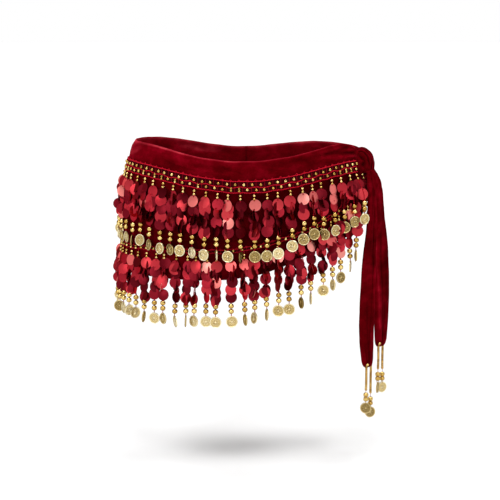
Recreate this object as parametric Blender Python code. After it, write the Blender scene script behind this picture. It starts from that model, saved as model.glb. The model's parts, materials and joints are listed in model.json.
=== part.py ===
"""Belly dance hip scarf, worn shape: a velvet band round the hips with two tiers of sequin fringe, each hung
from a crochet trim, knotted at one hip with two hanging tails that end in coin tassels.

Metres, +Z up. The origin is the middle of the ring where the hips hold it. The front faces -Y and the knot is
at +X. A turn is counted in degrees round the hips: 0 at the knotted hip, 90 at the front, 180 at the other hip
and 270 at the back. Heights and offsets in the tables are in millimetres."""

import math

import bmesh
import bpy
import numpy as np

MM = 0.001
SEAM_GAP = 0.3 * MM  # between two pieces that are sewn or strung together
CLOTH = 2.0 * MM  # velvet with its backing
TURN_STEP = 5.0  # degrees between two columns of every piece that goes round the hips

# The general figure that the scarf is cut for, as ellipses: it is the cloth's outer face.
FIGURE = (  # height, half width, half depth
    (60, 150.0, 105.0),
    (30, 160.5, 112.5),
    (0, 168.4, 118.5),
    (-20, 171.6, 121.0),
    (-55, 174.6, 123.5),
    (-110, 177.4, 125.5),
    (-150, 180.0, 127.0),
    (-200, 183.0, 128.5),
    (-300, 185.0, 129.5),
)

# Heights round the scarf: its top edge, the first bead row of each trim, the velvet's lower edge, and the
# middle of each tier's coins. The lower tier runs from LOWER_START to LOWER_END only.
STATIONS = (  # turn, top, upper row, lower row, velvet edge, upper coins, lower coins
    (-20, 20.5, -6.5, -22.0, -40.0, -92.0, -100.0),
    (0, 20.5, -3.0, -16.0, -45.0, -80.0, -95.0),
    (20, 24.0, 1.5, -14.0, -66.0, -69.0, -96.0),
    (30, 30.5, 2.5, -31.0, -92.0, -73.0, -117.0),
    (40, 31.0, 1.0, -51.0, -97.0, -81.0, -143.0),
    (50, 27.4, -2.5, -66.0, -105.0, -86.0, -158.0),
    (60, 22.4, -7.5, -79.0, -114.0, -89.0, -171.0),
    (75, 15.8, -14.5, -93.0, -131.0, -107.0, -189.0),
    (90, 12.7, -18.0, -104.0, -143.0, -113.5, -200.0),
    (105, 14.8, -15.3, -108.5, -148.0, -111.5, -205.0),
    (120, 21.0, -9.5, -109.0, -149.5, -109.0, -205.5),
    (135, 28.2, -3.4, -109.5, -149.5, -104.0, -204.5),
    (150, 31.8, 0.5, -111.0, -150.0, -102.0, -204.5),
    (165, 32.5, 2.0, -111.5, -150.5, -100.5, -203.0),
    (180, 32.5, 2.0, -109.0, -147.0, -99.0, -199.0),
    (195, 32.2, 1.5, -98.0, -135.0, -99.0, -187.0),
    (210, 31.2, 0.0, -78.0, -114.0, -99.0, -165.0),
    (225, 28.0, -3.5, -56.0, -88.0, -101.0, -138.0),
    (240, 22.0, -9.0, -46.0, -68.0, -105.0, -120.0),
    (255, 15.0, -15.5, -50.0, -61.0, -110.0, -120.0),
    (270, 12.2, -18.0, -52.0, -60.0, -112.5, -120.0),
    (285, 15.8, -14.5, -48.0, -57.0, -109.0, -120.0),
    (300, 20.4, -10.0, -44.0, -52.0, -104.0, -116.0),
    (315, 22.4, -8.0, -40.0, -48.0, -100.0, -112.0),
    (330, 21.6, -7.0, -36.0, -44.0, -96.0, -108.0),
    (345, 20.4, -6.0, -30.0, -40.0, -90.0, -100.0),
)
STATION_COLUMNS = ("turn", "top", "upper", "lower", "velvet", "upper_coins", "lower_coins")

PANEL_START, CENTRE_BACK, PANEL_END = 20, 270, 345
UPPER_TRIM_START, UPPER_TRIM_END = 25, 340
LOWER_START, LOWER_END = 30, 215
TRIM_ABOVE = 6.5 * MM  # from a trim's first bead row up to its picots
TRIM_BELOW = 11.0 * MM  # and down to its last chain
TRIM_THICK = 2.0 * MM
SHOULDER = 12.0 * MM  # row of the panel between its top edge and the trim

# Fringe: the reach of its sequins as a wall that thickens towards the coins.
COIN_REACH = 10.0 * MM  # below the middle of a coin
UPPER_FRINGE = ((2.6, 7.0), (6.2, 11.0))  # (inner, outer) offset in mm at the top, then at the coins
LOWER_FRINGE = ((0.8, 2.2), (0.8, 7.0))
UPPER_SECTORS = (("front", 20, 130), ("left", 130, 235), ("back", 235, 345))
LOWER_SECTORS = (("front", 25, 125), ("left", 125, 215))

# Soft creases of the panel that run out from the knot, above the upper trim.
CREASES = (  # turn where it starts, height there, turn where it dies out, height there, half width, depth
    (20, 13.0, 56, 15.0, 4.5, 2.6),
    (20, 21.0, 40, 24.5, 3.5, 1.6),
)

# The velvet pulled together on its way to the knot: from flat at the panel to pleats at the knot.
GATHER_PLEATS = 3
GATHER_COLUMNS = 12
FRONT_GATHER = (  # x, y, z of the middle, height, pleat depth
    (158.4, -38.2, 8.5, 26.0, 0.6),
    (160.2, -36.0, 5.6, 19.5, 1.6),
    (163.2, -32.0, 4.0, 17.0, 3.0),
    (165.8, -26.0, 3.0, 14.0, 3.8),
)
BACK_GATHER = (
    (164.8, 30.0, 6.5, 25.0, 0.6),
    (168.6, 16.0, 5.5, 21.0, 2.0),
    (170.6, 2.0, 4.5, 17.0, 3.4),
    (171.2, -10.0, 3.5, 14.5, 4.2),
    (170.6, -19.5, 3.0, 13.5, 4.2),
)

# Velvet folded lengthwise, as the ties are: its section across the strip and outward, as shares of its size.
FOLDED_SECTION = (  # across, outward
    (-0.06, 0.16),
    (-0.36, 0.10),
    (-0.50, 0.42),
    (-0.42, 0.82),
    (-0.14, 0.96),
    (0.10, 0.80),
    (0.30, 0.97),
    (0.46, 0.70),
    (0.48, 0.34),
    (0.34, 0.08),
    (0.06, 0.14),
)
# The stretch that crosses over the knot: from behind the front gather, up, over and down to the short tail.
KNOT_WRAP = (  # x, y, z of its inner face, width, thickness, outward x, y, z
    (153.6, -28.6, 1.0, 12.0, 5.0, -0.95, 0.25, -0.10),
    (153.8, -29.0, 13.0, 13.0, 5.5, -0.80, 0.20, 0.55),
    (160.6, -29.8, 19.6, 14.0, 6.0, -0.10, -0.05, 0.99),
    (168.6, -31.6, 16.4, 15.0, 7.0, 0.55, -0.25, 0.80),
    (173.4, -33.4, 8.0, 15.5, 7.6, 0.90, -0.40, 0.20),
    (174.8, -34.4, -2.0, 15.5, 7.6, 0.88, -0.46, -0.10),
    (174.2, -35.0, -12.5, 14.0, 6.8, 0.86, -0.48, -0.16),
)
LONG_TAIL = (  # height, x, y of the front edge, x, y of the back edge, thickness
    (-9.0, 166.5, -53.0, 171.5, -45.0, 6.0),
    (-22.0, 167.5, -56.0, 174.5, -46.5, 7.0),
    (-50.0, 168.5, -61.5, 177.0, -50.0, 7.5),
    (-85.0, 168.5, -68.0, 178.5, -54.0, 7.5),
    (-122.0, 166.5, -71.5, 178.8, -56.0, 7.0),
    (-165.0, 163.5, -72.5, 178.8, -57.0, 6.5),
    (-205.0, 161.5, -72.0, 178.8, -57.0, 6.5),
    (-238.0, 161.5, -71.5, 178.8, -57.0, 6.0),
    (-266.0, 163.5, -71.0, 178.8, -57.0, 5.5),
    (-283.0, 166.0, -70.0, 178.2, -58.0, 5.0),
)
SHORT_TAIL = (
    (-17.0, 174.0, -41.0, 181.0, -28.0, 7.0),
    (-40.0, 177.0, -44.0, 185.5, -27.0, 7.5),
    (-72.0, 179.5, -46.0, 190.0, -25.0, 7.5),
    (-105.0, 180.5, -47.0, 195.0, -24.0, 7.5),
    (-140.0, 181.0, -47.5, 198.5, -22.0, 7.5),
    (-175.0, 181.5, -47.5, 200.5, -20.0, 7.0),
    (-210.0, 182.0, -47.0, 200.5, -19.5, 6.5),
    (-240.0, 183.0, -46.0, 199.5, -20.0, 6.0),
    (-259.0, 185.5, -44.0, 197.0, -23.5, 5.0),
)

# Tassels: a string of small beads, two larger beads and a coin.
TASSELS = (  # name, x, y, height of the string's top, of its end, of the coin's middle, turn the coin faces
    ("long_tail_front_tassel", 170.6, -69.0, -284.5, -318.6, -344.5, 100.0),
    ("long_tail_back_tassel", 177.8, -61.8, -284.5, -326.6, -352.5, 70.0),
    ("short_tail_front_tassel", 190.0, -41.5, -260.5, -296.0, -322.0, 18.0),
    ("short_tail_back_tassel", 197.6, -29.5, -260.5, -299.0, -325.0, 62.0),
)
STRING_RADIUS = 1.2 * MM
BEAD_RADIUS = 3.0 * MM
COIN_RADIUS = 8.0 * MM
COIN_LINK = 2.2 * MM  # between the last bead and the coin
COIN_PROFILE = (  # radius, half thickness
    (0.0, 0.45),
    (6.7, 0.45),
    (7.1, 0.75),
    (7.7, 0.75),
    (8.0, 0.45),
)
COIN_SIDES = 24

VELVET = ((0.17, 0.002, 0.012), 0.85, 0.0)
CROCHET = ((0.30, 0.010, 0.020), 0.8, 0.0)
SEQUINS = ((0.34, 0.015, 0.030), 0.3, 0.55)
GOLD = ((0.72, 0.50, 0.20), 0.3, 1.0)


# --- scene and materials ------------------------------------------------------------------------------------
for old in list(bpy.data.objects):
    bpy.data.objects.remove(old, do_unlink=True)
scarf = bpy.data.collections.new("hip_scarf")
bpy.context.scene.collection.children.link(scarf)


def finish(obj, finish_of):
    """Puts the object in the scarf's collection with a material of its own."""
    colour, roughness, metallic = finish_of
    material = bpy.data.materials.new(obj.name)
    material.use_nodes = True
    shader = material.node_tree.nodes["Principled BSDF"]
    shader.inputs["Base Color"].default_value = (*colour, 1.0)
    shader.inputs["Roughness"].default_value = roughness
    shader.inputs["Metallic"].default_value = metallic
    obj.data.materials.clear()
    obj.data.materials.append(material)
    scarf.objects.link(obj)
    return obj


def solid_from(name, points, faces, finish_of):
    mesh = bpy.data.meshes.new(name)
    mesh.from_pydata([tuple(p) for p in points], [], faces)
    builder = bmesh.new()
    builder.from_mesh(mesh)
    bmesh.ops.recalc_face_normals(builder, faces=builder.faces)
    builder.to_mesh(mesh)
    builder.free()
    return finish(bpy.data.objects.new(name, mesh), finish_of)


# --- the figure and the heights round it --------------------------------------------------------------------
def smooth(at, xs, ys):
    """A curve through the table's points that keeps its slope from one to the next."""
    xs, ys = np.asarray(xs, float), np.asarray(ys, float)
    slopes = np.gradient(ys, xs)
    at = min(max(at, xs[0]), xs[-1])
    i = min(int(np.searchsorted(xs, at, side="right")) - 1, len(xs) - 2)
    width = xs[i + 1] - xs[i]
    u = (at - xs[i]) / width
    start, end = ys[i] + slopes[i] * width * u, ys[i + 1] - slopes[i + 1] * width * (1 - u)
    blend = u * u * (3 - 2 * u)
    return float(start * (1 - blend) + end * blend)


def figure_at(height):
    """Half width and half depth of the figure at this height."""
    rows = np.array(FIGURE[::-1]) * MM
    return smooth(height, rows[:, 0], rows[:, 1]), smooth(height, rows[:, 0], rows[:, 2])


def on_figure(turn, height, offset=0.0):
    """The point at this turn and height, moved straight out from the figure by the offset."""
    angle = math.radians(turn)
    half_width, half_depth = figure_at(height)
    out = np.array([math.cos(angle) / half_width, -math.sin(angle) / half_depth, 0.0])
    out /= np.linalg.norm(out)
    point = np.array([half_width * math.cos(angle), -half_depth * math.sin(angle), height])
    return point + out * offset


def station(column, turn):
    rows = np.array(STATIONS)
    return smooth(turn, rows[:, 0], rows[:, STATION_COLUMNS.index(column)]) * MM


def crease(turn, height):
    """How far the panel's creases lift it at this point."""
    lift = 0.0
    for start, start_height, end, end_height, half_width, depth in CREASES:
        along = (turn - start) / (end - start)
        if not 0 <= along < 1:
            continue
        middle = (start_height + (end_height - start_height) * along) * MM
        across = (height - middle) / (half_width * MM)
        lift += depth * MM * math.cos(along * math.pi / 2) * math.exp(-across * across)
    return lift


# --- walls round the hips -----------------------------------------------------------------------------------
def turns_between(start, end, gap_at_start, gap_at_end):
    """Columns every TURN_STEP, moved in a little at an end that meets another piece."""
    count = round((end - start) / TURN_STEP)
    turns = [start + TURN_STEP * i for i in range(count + 1)]
    for index, has_gap, inward in ((0, gap_at_start, 1), (-1, gap_at_end, -1)):
        if has_gap:
            half_width, half_depth = figure_at(0.0)
            angle = math.radians(turns[index])
            speed = math.hypot(half_width * math.sin(angle), half_depth * math.cos(angle))
            turns[index] += inward * math.degrees(SEAM_GAP / speed)
    return turns


def wall(name, inner_rows, outer_rows, finish_of):
    """A closed solid between two grids of points, [column][row]."""
    columns, rows = len(inner_rows), len(inner_rows[0])
    points = [p for column in inner_rows for p in column] + [p for column in outer_rows for p in column]
    shift = columns * rows

    def at(side, i, j):
        return side * shift + i * rows + j

    faces = []
    for i in range(columns - 1):
        for j in range(rows - 1):
            for side in (0, 1):
                faces.append((at(side, i, j), at(side, i + 1, j), at(side, i + 1, j + 1), at(side, i, j + 1)))
        for j in (0, rows - 1):
            faces.append((at(0, i, j), at(0, i + 1, j), at(1, i + 1, j), at(1, i, j)))
    for i in (0, columns - 1):
        for j in range(rows - 1):
            faces.append((at(0, i, j), at(0, i, j + 1), at(1, i, j + 1), at(1, i, j)))
    return solid_from(name, points, faces, finish_of)


def panel_heights(turn):
    """The panel's rows, which the trims and the lower fringe share."""
    top, upper, lower, edge = (station(column, turn) for column in ("top", "upper", "lower", "velvet"))
    trim_top, trim_bottom = upper + TRIM_ABOVE, upper - TRIM_BELOW
    middle = trim_top + min(SHOULDER, (top - trim_top) / 2)
    if LOWER_START <= turn <= LOWER_END:
        return [top, middle, trim_top, trim_bottom, lower + TRIM_ABOVE, lower - TRIM_BELOW, edge]
    return [top, middle, trim_top, trim_bottom, (trim_bottom * 2 + edge) / 3, (trim_bottom + edge * 2) / 3, edge]


def velvet_panel(name, start, end, gap_at_start, gap_at_end):
    inner, outer = [], []
    for turn in turns_between(start, end, gap_at_start, gap_at_end):
        heights = panel_heights(turn)
        top, trim_top = heights[0], heights[2]
        # Extra rows between the top edge and the trim carry the creases.
        heights = list(np.linspace(top, trim_top, 6)) + heights[3:]
        outer.append([on_figure(turn, z, crease(turn, z) if z > trim_top + MM else 0.0) for z in heights])
        inner.append([on_figure(turn, z, (crease(turn, z) if z > trim_top + MM else 0.0) - CLOTH) for z in heights])
    return wall(name, inner, outer, VELVET)


def trim(name, column, start, end, gap_at_start=False, gap_at_end=False):
    """A crochet trim on the panel's own rows, moved out."""
    inner, outer = [], []
    for turn in turns_between(start, end, gap_at_start, gap_at_end):
        row = station(column, turn)
        heights = (row + TRIM_ABOVE, row - TRIM_BELOW)
        inner.append([on_figure(turn, z, SEAM_GAP) for z in heights])
        outer.append([on_figure(turn, z, SEAM_GAP + TRIM_THICK) for z in heights])
    return wall(name, inner, outer, CROCHET)


def fringe(name, row_column, coin_column, offsets, start, end, gap_at_start, gap_at_end, via=None):
    """A tier of fringe from its trim down to its coins. via names a height that gets a row of its own."""
    (top_in, top_out), (end_in, end_out) = offsets
    inner, outer = [], []
    for turn in turns_between(start, end, gap_at_start, gap_at_end):
        top = station(row_column, turn) - TRIM_BELOW - SEAM_GAP
        bottom = station(coin_column, turn) - COIN_REACH
        heights = list(np.linspace(top, bottom, 4))
        if via:
            heights = [top, *np.linspace(station(via, turn), bottom, 3)]
        shares = [(top - z) / (top - bottom) for z in heights]
        inner.append([on_figure(turn, z, (top_in + (end_in - top_in) * s) * MM) for z, s in zip(heights, shares)])
        outer.append([on_figure(turn, z, (top_out + (end_out - top_out) * s) * MM) for z, s in zip(heights, shares)])
    return wall(name, inner, outer, SEQUINS)


def sector(name, sectors, index, *columns, **options):
    """One sector of a tier, with seam gaps where it meets the next one."""
    _, start, end = sectors[index]
    return fringe(name, *columns, start, end, index > 0, index < len(sectors) - 1, **options)


# --- ties, knot and tails -----------------------------------------------------------------------------------
def gather(name, rows):
    """Velvet drawn into pleats: a wall whose height shrinks while its pleats deepen towards the knot."""
    middles = np.array([row[:3] for row in rows]) * MM
    inner, outer = [], []
    for i, (_, _, _, height, depth) in enumerate(rows):
        along = middles[min(i + 1, len(rows) - 1)] - middles[max(i - 1, 0)]
        out = np.cross(along, (0, 0, 1.0)) if along[1] > 0 else np.cross((0, 0, 1.0), along)
        out /= np.linalg.norm(out)
        column = []
        for j in range(GATHER_COLUMNS + 1):
            share = j / GATHER_COLUMNS
            pleat = 0.5 - 0.5 * math.cos(share * GATHER_PLEATS * 2 * math.pi)
            column.append(middles[i] + np.array([0, 0, (0.5 - share) * height * MM]) + out * pleat * depth * MM)
        outer.append(column)
        inner.append([p - out * CLOTH for p in column])
    return wall(name, inner, outer, VELVET)


def folded_strip(name, rows):
    """Velvet folded lengthwise. A row is its middle, across and outward directions, width and thickness."""
    outer, inner = [], []
    for middle, across, out, width, thickness in rows:
        section = [np.array([a * width, o * thickness]) for a, o in FOLDED_SECTION]
        centre = np.array([0.0, 0.5 * thickness])
        outline, lining = [], []
        for k, point in enumerate(section):
            ahead, behind = section[min(k + 1, len(section) - 1)], section[max(k - 1, 0)]
            normal = np.array([behind[1] - ahead[1], ahead[0] - behind[0]])
            normal /= np.linalg.norm(normal)
            if normal @ (point - centre) > 0:
                normal = -normal
            wall_here = min(CLOTH, 0.27 * thickness)
            outline.append(middle + across * point[0] + out * point[1])
            within = point + normal * wall_here
            lining.append(middle + across * within[0] + out * within[1])
        outer.append(outline)
        inner.append(lining)
    return wall(name, inner, outer, VELVET)


def tail(name, rows):
    """A hanging tail, from the edges of its inner face at each height."""
    strips = []
    for height, x1, y1, x2, y2, thickness in rows:
        front, back = np.array([x1, y1, height]) * MM, np.array([x2, y2, height]) * MM
        across = back - front
        width = np.linalg.norm(across)
        across /= width
        out = np.cross(across, (0, 0, 1.0))
        strips.append(((front + back) / 2, across, out, width, thickness * MM))
    return folded_strip(name, strips)


def knot_wrap(name):
    middles = np.array([row[:3] for row in KNOT_WRAP]) * MM
    strips = []
    for i, (_, _, _, width, thickness, *outward) in enumerate(KNOT_WRAP):
        along = middles[min(i + 1, len(middles) - 1)] - middles[max(i - 1, 0)]
        along /= np.linalg.norm(along)
        out = np.array(outward) - along * (np.array(outward) @ along)
        out /= np.linalg.norm(out)
        strips.append((middles[i], np.cross(out, along), out, width * MM, thickness * MM))
    return folded_strip(name, strips)


# --- tassels ------------------------------------------------------------------------------------------------
def bead(name, centre):
    mesh = bpy.data.meshes.new(name)
    builder = bmesh.new()
    bmesh.ops.create_uvsphere(builder, u_segments=14, v_segments=8, radius=BEAD_RADIUS)
    builder.to_mesh(mesh)
    builder.free()
    obj = bpy.data.objects.new(name, mesh)
    obj.location = centre
    return finish(obj, GOLD)


def string(name, top, end):
    curve = bpy.data.curves.new(name, "CURVE")
    curve.dimensions = "3D"
    curve.bevel_depth = STRING_RADIUS
    curve.bevel_resolution = 2
    curve.use_fill_caps = True
    spline = curve.splines.new("POLY")
    spline.points.add(1)
    for point, at in zip(spline.points, (top, end)):
        point.co = (*at, 1.0)
    return finish(bpy.data.objects.new(name, curve), GOLD)


def coin(name, centre, facing):
    """A disc with a raised rim, turned about the vertical so that it faces this turn."""
    angle = math.radians(facing)
    normal = np.array([math.cos(angle), -math.sin(angle), 0.0])
    side, up = np.cross((0, 0, 1.0), normal), np.array([0, 0, 1.0])
    profile = [(r, h) for r, h in COIN_PROFILE[1:]] + [(r, -h) for r, h in reversed(COIN_PROFILE[1:])]
    points = [centre + normal * COIN_PROFILE[0][1] * MM]
    for radius, half in profile:
        for k in range(COIN_SIDES):
            turn = 2 * math.pi * k / COIN_SIDES
            points.append(centre + (side * math.cos(turn) + up * math.sin(turn)) * radius * MM + normal * half * MM)
    points.append(centre - normal * COIN_PROFILE[0][1] * MM)
    last, faces = len(points) - 1, []
    for k in range(COIN_SIDES):
        step = (k + 1) % COIN_SIDES
        faces.append((0, 1 + k, 1 + step))
        for ring in range(len(profile) - 1):
            here, below = 1 + ring * COIN_SIDES, 1 + (ring + 1) * COIN_SIDES
            faces.append((here + k, below + k, below + step, here + step))
        final = 1 + (len(profile) - 1) * COIN_SIDES
        faces.append((last, final + step, final + k))
    return solid_from(name, points, faces, GOLD)


def tassel(name, x, y, top, end, coin_height, facing):
    x, y, top, end, coin_height = (value * MM for value in (x, y, top, end, coin_height))
    string(f"{name}_string", (x, y, top), (x, y, end))
    first = coin_height + COIN_RADIUS + COIN_LINK + 3 * BEAD_RADIUS + SEAM_GAP
    bead(f"{name}_upper_bead", (x, y, first))
    bead(f"{name}_lower_bead", (x, y, first - 2 * BEAD_RADIUS - SEAM_GAP))
    coin(f"{name}_coin", np.array([x, y, coin_height]), facing)


# --- the scarf ----------------------------------------------------------------------------------------------
velvet_panel("main_panel", PANEL_START, CENTRE_BACK, False, True)
velvet_panel("back_panel", CENTRE_BACK, PANEL_END, True, False)
trim("upper_trim_main", "upper", UPPER_TRIM_START, CENTRE_BACK, gap_at_end=True)
trim("upper_trim_back", "upper", CENTRE_BACK, UPPER_TRIM_END, gap_at_start=True)
trim("lower_trim", "lower", LOWER_START, LOWER_END)
for index, (side, _, _) in enumerate(UPPER_SECTORS):
    sector(f"upper_fringe_{side}", UPPER_SECTORS, index, "upper", "upper_coins", UPPER_FRINGE)
for index, (side, _, _) in enumerate(LOWER_SECTORS):
    sector(f"lower_fringe_{side}", LOWER_SECTORS, index, "lower", "lower_coins", LOWER_FRINGE, via="velvet")
gather("front_tie_gather", FRONT_GATHER)
gather("back_tie_gather", BACK_GATHER)
knot_wrap("knot_wrap")
tail("long_tail", LONG_TAIL)
tail("short_tail", SHORT_TAIL)
for row in TASSELS:
    tassel(*row)
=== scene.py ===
"""Looks of the belly dance hip scarf: velvet shells on the forms of the cut pieces, crochet trims strung with
beads, two tiers of sequin and coin fringe, the side knot with its tails, and the tassels.

Metres, +Z up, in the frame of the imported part. A turn is counted in degrees round the hips: 0 at the knotted
hip, 90 at the front, 180 at the other hip and 270 at the back. Tables are in millimetres."""

import json
import math

import bpy
import numpy as np
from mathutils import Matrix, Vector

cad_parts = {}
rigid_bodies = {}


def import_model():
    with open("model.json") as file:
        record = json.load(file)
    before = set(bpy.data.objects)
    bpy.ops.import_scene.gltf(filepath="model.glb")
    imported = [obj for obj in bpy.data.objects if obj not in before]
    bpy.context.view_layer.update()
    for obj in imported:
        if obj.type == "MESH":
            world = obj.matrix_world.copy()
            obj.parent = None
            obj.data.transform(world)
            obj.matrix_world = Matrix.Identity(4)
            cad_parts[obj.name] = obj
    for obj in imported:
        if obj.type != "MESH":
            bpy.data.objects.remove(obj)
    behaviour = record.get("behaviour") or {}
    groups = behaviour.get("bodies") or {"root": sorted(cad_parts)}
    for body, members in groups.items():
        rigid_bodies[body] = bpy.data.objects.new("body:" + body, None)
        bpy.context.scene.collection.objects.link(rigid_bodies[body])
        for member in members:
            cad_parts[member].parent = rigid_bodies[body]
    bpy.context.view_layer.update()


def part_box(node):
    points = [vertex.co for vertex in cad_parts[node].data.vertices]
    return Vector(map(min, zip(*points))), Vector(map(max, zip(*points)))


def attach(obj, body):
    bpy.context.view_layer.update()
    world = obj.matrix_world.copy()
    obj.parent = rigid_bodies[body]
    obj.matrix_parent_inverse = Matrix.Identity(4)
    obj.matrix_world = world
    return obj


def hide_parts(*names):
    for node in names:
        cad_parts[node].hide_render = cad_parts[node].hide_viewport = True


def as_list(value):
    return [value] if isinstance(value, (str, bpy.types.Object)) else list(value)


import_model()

MM = 0.001
UP = np.array([0, 0, 1.0])
CLOTH = 1.6 * MM

# --- the figure and the heights round it, as the part is cut ---
FIGURE = (  # height, half width, half depth
    (60, 150, 105),
    (30, 160.5, 112.5),
    (0, 168.4, 118.5),
    (-20, 171.6, 121),
    (-55, 174.6, 123.5),
    (-110, 177.4, 125.5),
    (-150, 180, 127),
    (-200, 183, 128.5),
    (-300, 185, 129.5),
)
STATIONS = (  # turn, top, upper row, lower row, velvet edge, upper coins, lower coins
    (-20, 20.5, -6.5, -22, -40, -92, -100),
    (0, 20.5, -3, -16, -45, -80, -95),
    (20, 24, 1.5, -14, -66, -69, -96),
    (30, 30.5, 2.5, -31, -92, -73, -117),
    (40, 31, 1, -51, -97, -81, -143),
    (50, 27.4, -2.5, -66, -105, -86, -158),
    (60, 22.4, -7.5, -79, -114, -89, -171),
    (75, 15.8, -14.5, -93, -131, -107, -189),
    (90, 12.7, -18, -104, -143, -113.5, -200),
    (105, 14.8, -15.3, -108.5, -148, -111.5, -205),
    (120, 21, -9.5, -109, -149.5, -109, -205.5),
    (135, 28.2, -3.4, -109.5, -149.5, -104, -204.5),
    (150, 31.8, 0.5, -111, -150, -102, -204.5),
    (165, 32.5, 2, -111.5, -150.5, -100.5, -203),
    (180, 32.5, 2, -109, -147, -99, -199),
    (195, 32.2, 1.5, -98, -135, -99, -187),
    (210, 31.2, 0, -78, -114, -99, -165),
    (225, 28, -3.5, -56, -88, -101, -138),
    (240, 22, -9, -46, -68, -105, -120),
    (255, 15, -15.5, -50, -61, -110, -120),
    (270, 12.2, -18, -52, -60, -112.5, -120),
    (285, 15.8, -14.5, -48, -57, -109, -120),
    (300, 20.4, -10, -44, -52, -104, -116),
    (315, 22.4, -8, -40, -48, -100, -112),
    (330, 21.6, -7, -36, -44, -96, -108),
    (345, 20.4, -6, -30, -40, -90, -100),
)
STATION_COLUMNS = ("turn", "top", "upper", "lower", "velvet", "upper_coins", "lower_coins")
PANEL_START, CENTRE_BACK, PANEL_END = 20, 270, 345
UPPER_TRIM_START, UPPER_TRIM_END = 25, 340
LOWER_START, LOWER_END = 30, 215

# Creases of the band that run out from the knot, then lighter ones elsewhere. A trough has a negative lift.
BY_THE_KNOT = 30  # a crease that starts before this turn comes out of the knot
CREASES = (  # turn where it starts, height there, turn where it dies out, height there, half width, lift
    (20, 13, 56, 15, 3.6, 3),
    (20, 21, 42, 25.5, 2.4, 1.8),
    (22, 17, 52, 20.5, 2.2, -2.4),
    (24, 8.5, 60, 6, 2.4, -1.8),
    (28, 27, 72, 10, 2.6, -1.8),
    (29, 30, 66, 18, 2.2, 1.4),
    (58, 18, 82, 2, 5, -0.9),
    (150, 24, 178, 10, 5, 1.1),
    (176, 8, 205, 22, 5, -1),
    (96, 0, 124, 12, 5.5, -0.8),
    (88, -7, 106, 9, 1.8, -0.9),
    (94, -8, 119, 5, 2, 0.9),
    (112, -4, 137, 15, 1.9, -0.9),
    (64, 0, 88, 7, 1.8, 0.8),
    (104, 14, 138, 2, 4, 0.7),
    (228, 16, 262, 2, 5, 0.8),
    (318, 4, 345, 12, 4, 1.4),
    (300, 12, 345, 4, 4, -1),
)

# Trims, from the first bead row: chains and bead rows by their height.
UPPER_CHAINS = ((4.6, 0.0), (-3.6, 0.8), (-10.6, 0.3))  # height, how far the chain waves up and down
LOWER_CHAINS = ((1.9, 0.2), (-2.5, 0.3))
TRIM_BEAD_PITCH = 11.0 * MM
TRIM_BEAD_RADIUS = 2.15 * MM
CHAIN_RADIUS = 0.62 * MM
SHADE_BAND_OFFSET, SHADE_BAND_THICK = 0.5 * MM, 0.5 * MM

# Fringe strands: two small beads, sequins knotted on, two large beads and a coin.
STRAND_PITCH = 15.8 * MM
SMALL_BEAD_DROPS = (4.0 * MM, 8.4 * MM)  # below the chain that the strand hangs from
FIRST_SEQUIN_DROP = 11.0 * MM
LAST_SEQUIN_RISE = 14.5 * MM  # above the large beads
SEQUIN_RADIUS = 8.0 * MM
SEQUIN_HOLE = SEQUIN_RADIUS - 1.5 * MM  # from its centre
SEQUIN_PITCH = 10.4 * MM
SEQUIN_THICK = 0.3 * MM
SEQUIN_SIDES, COIN_SIDES = 22, 36
DOUBLED_SEQUINS = 0.35  # share of the knots that carry a second sequin
# Shares of dark, plain and glinting sequins by kind: the dark tones are painted reflection of dim surroundings
# and the glinting ones a painted glint of a bright lamp.
SEQUIN_TONES = {  # shares of dark, plain and glinting ones
    "top": (0.32, 0.45, 0.23),
    "plain": (0.44, 0.46, 0.10),
    "loose": (0.60, 0.34, 0.06),
    "swung": (0.2, 0.8, 0.0),
}
BIG_BEAD_RADIUS = 3.85 * MM
COIN_RADIUS = 8.0 * MM
COIN_HOLE = COIN_RADIUS - 1.4 * MM  # from its centre
COIN_LINK = 2.0 * MM  # between the last bead and the coin
COIN_RINGS = (  # radius, half thickness
    (0, 0.95),
    (0.9, 0.75),
    (1.7, 0.45),
    (2.5, 0.50),
    (3.3, 0.50),
    (4.1, 0.50),
    (4.9, 0.45),
    (5.5, 0.45),
    (6.1, 0.45),
    (6.6, 0.45),
    (7, 0.80),
    (7.6, 0.85),
    (8, 0.50),
)
THREAD_RADIUS = 0.60 * MM
# Strands by the knot hang out over the long tail, and drift this many degrees away from the knot.
SWUNG_TURN = 4.0
UPPER_SWING = (26.6, 9.5, 14.0 * MM)  # turn of the one furthest out, degrees to each side, how far out
LOWER_SWING = (31.0, 6.5, 7.0 * MM)

# Velvet drawn together on its way to the knot: both edges of each section, and how thick the bundle is.
FRONT_GATHER = (  # x, y, z of the top edge, x, y, z of the bottom edge, thickness
    (152.2, -39.3, 24.2, 162, -42.6, -34, 2.2),
    (155.6, -38.2, 20.6, 164.6, -42.4, -33, 5),
    (160, -36.4, 15.6, 167.6, -41.4, -30, 8),
    (165.2, -33.6, 11, 170.6, -39, -26, 9.5),
    (169.4, -29.6, 8, 172.6, -34, -20, 8),
)
BACK_GATHER = (
    (158.6, 30.2, 20.6, 165.6, 32, -8, 2.2),
    (163.2, 18, 18.5, 168.2, 18.6, -8, 5.5),
    (167, 3, 14.5, 170.2, 3, -7, 8),
    (167.6, -11, 12.5, 170.6, -11.4, -6, 9.5),
    (166.4, -24, 13, 169.6, -25, -5, 9),
)
GATHER_PLEATS = 4.0

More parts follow.
